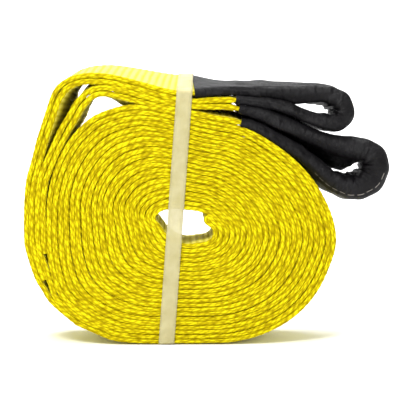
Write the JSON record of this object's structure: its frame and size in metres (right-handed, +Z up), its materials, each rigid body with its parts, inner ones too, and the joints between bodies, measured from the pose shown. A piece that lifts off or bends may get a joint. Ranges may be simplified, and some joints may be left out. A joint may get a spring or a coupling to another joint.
{
  "type": "tow strap",
  "caption": "Flat recovery strap rolled flat on its edge, with both sleeved end eyes folded over the top and a packing band round the roll.",
  "frame": {"origin": "centre of the bounding box on the floor that the roll stands on", "axes": "+X from the roll towards the end eyes, +Y from the near selvedge to the far one, +Z up"},
  "size_m": [0.2939, 0.0824, 0.2271],
  "materials": {
    "webbing": "ribbed woven",
    "sleeve": "twill woven",
    "band": "embossed satin"
  },
  "bodies": {
    "root": {"webbing": "webbing", "upper_eye_sleeve": "sleeve", "lower_eye_sleeve": "sleeve", "packing_band": "band"}
  },
  "joints": []
}
